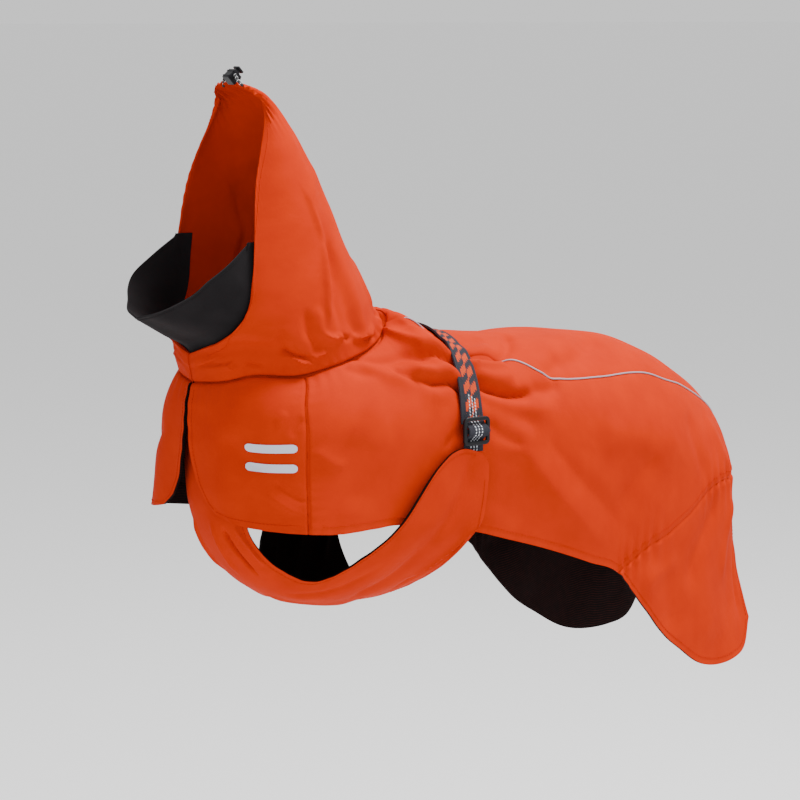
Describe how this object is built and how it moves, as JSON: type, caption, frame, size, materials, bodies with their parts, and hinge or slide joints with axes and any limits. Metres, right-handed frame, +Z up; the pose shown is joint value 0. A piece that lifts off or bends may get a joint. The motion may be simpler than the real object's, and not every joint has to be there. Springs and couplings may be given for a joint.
{
  "type": "dog raincoat",
  "caption": "Hooded dog coat in its worn shape: back, sides, flared front, belly panel, thigh wings, collar, back strap with side buckles, hollow inside.",
  "frame": {"origin": "inner side of the back cloth at the withers, on the centre line, where the coat rests on the wearer", "axes": "+Z up, +Y toward the tail, +X toward the wearer's left; the hood opens toward -Y"},
  "size_m": [0.2304, 0.6492, 0.593],
  "materials": {
    "orange_shell": "matte coated woven rain cloth",
    "dark_lining": "black-brown mesh lining",
    "collar_black": "soft black cloth",
    "webbing": "woven webbing with raised edges",
    "piping": "reflective piping",
    "reflective": "heat-set reflective film",
    "cord": "braided elastic cord",
    "plastic": "moulded black plastic"
  },
  "bodies": {
    "root": {"back_panel": "orange_shell", "side_panel_left": "orange_shell", "side_panel_right": "orange_shell", "front_panel_left": "orange_shell", "front_panel_right": "orange_shell", "thigh_wing_left": "orange_shell", "thigh_wing_right": "orange_shell", "hood_left": "orange_shell", "hood_right": "orange_shell", "belly_panel": "orange_shell", "belly_lining": "dark_lining", "wing_lining_left": "dark_lining", "wing_lining_right": "dark_lining", "front_lining_left": "dark_lining", "front_lining_right": "dark_lining", "collar": "collar_black", "back_strap": "webbing", "tab_webbing_left": "webbing", "tab_webbing_right": "webbing", "piping_left": "piping", "piping_right": "piping", "reflective_bar_upper_left": "reflective", "reflective_bar_upper_right": "reflective", "reflective_bar_lower_left": "reflective", "reflective_bar_lower_right": "reflective", "hood_cord": "cord", "ladder_buckle_left": "plastic", "ladder_buckle_right": "plastic", "cord_lock_barrel": "plastic", "cord_lock_button": "plastic"}
  },
  "joints": []
}
